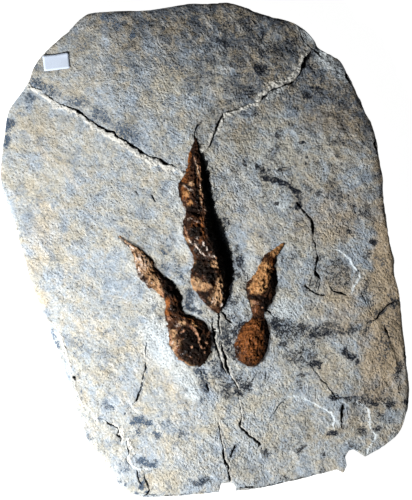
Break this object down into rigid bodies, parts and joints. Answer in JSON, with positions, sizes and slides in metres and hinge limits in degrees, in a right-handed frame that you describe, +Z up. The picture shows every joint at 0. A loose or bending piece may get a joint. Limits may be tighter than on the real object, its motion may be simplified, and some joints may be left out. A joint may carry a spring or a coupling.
{
  "type": "dinosaur footprint fossil",
  "caption": "Slab of pale limestone with a raised dark brown footprint of slender toes, glued cracks and a small blank paper sticker.",
  "frame": {"origin": "on the flat underside, under the middle of the slab's bounding box", "axes": "+Z up out of the bedding plane that carries the print, +Y towards the claw of the middle toe, along the slab's length, +X to the right with the toes pointing away"},
  "size_m": [0.3921, 0.4745, 0.0406],
  "materials": {
    "limestone": "matte",
    "ironstone": "satin",
    "paper": "matte"
  },
  "bodies": {
    "root": {"slab": "limestone", "middle_toe_cast": "ironstone", "left_toe_cast": "ironstone", "right_toe_cast": "ironstone", "specimen_label": "paper"}
  },
  "joints": []
}
